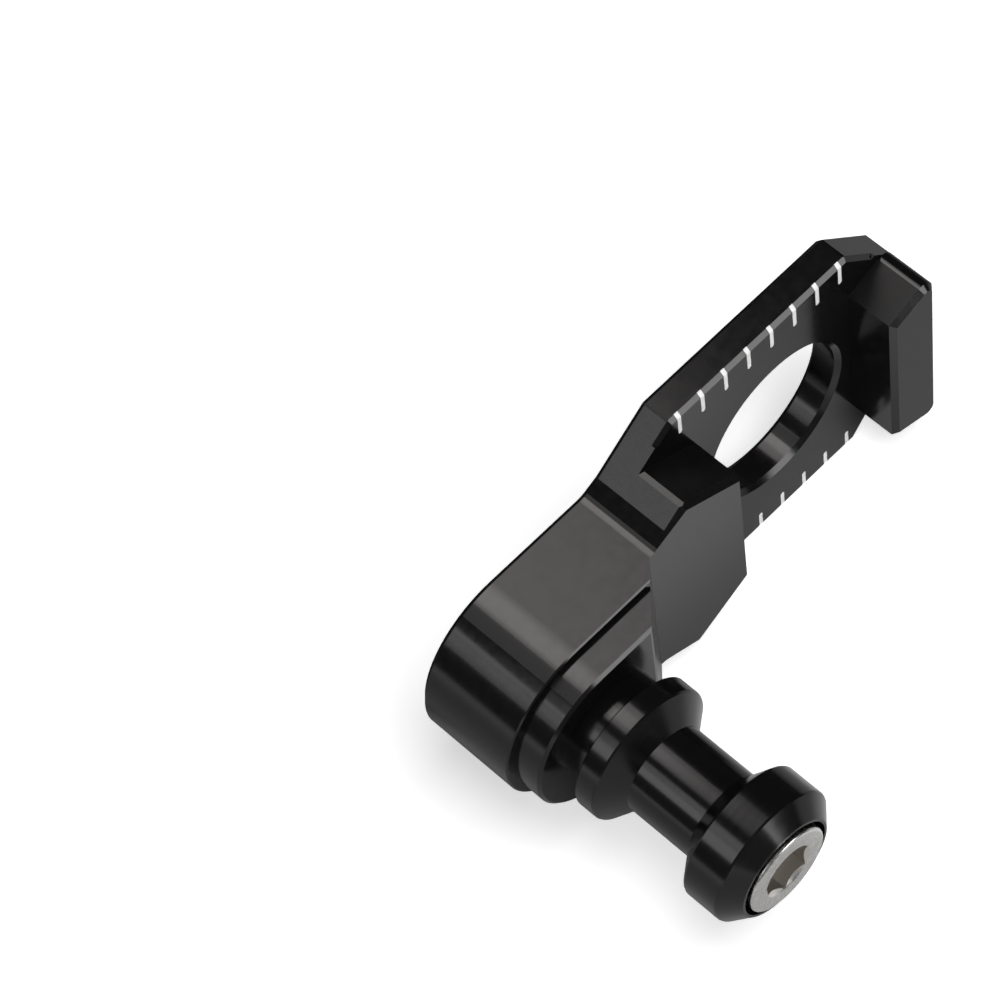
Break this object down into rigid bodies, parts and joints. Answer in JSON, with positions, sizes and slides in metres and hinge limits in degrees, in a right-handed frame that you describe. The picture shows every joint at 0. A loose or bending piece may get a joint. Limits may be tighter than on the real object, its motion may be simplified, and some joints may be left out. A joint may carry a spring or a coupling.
{
  "type": "motorcycle chain adjuster",
  "caption": "Machined chain adjuster plate with an axle bore between raised blocks, index marks along its edges, and a flanged stand spool screwed to its stepped ear.",
  "frame": {"origin": "centre of the axle bore, halfway through the plate", "axes": "+Y along the axle bore and out of the plate's back face, +X along the plate away from the spool, +Z across the plate to its upper edge; the spool's axis points along -Y"},
  "size_m": [0.098, 0.0592, 0.052],
  "materials": {
    "black_anodised": "smooth semi-gloss black anodised",
    "bright_steel": "bright plated steel",
    "mark_fill": "matt white fill in the index marks"
  },
  "bodies": {
    "root": {"adjuster_body": "black_anodised", "stand_spool": "black_anodised", "spool_screw": "bright_steel"}
  },
  "joints": []
}
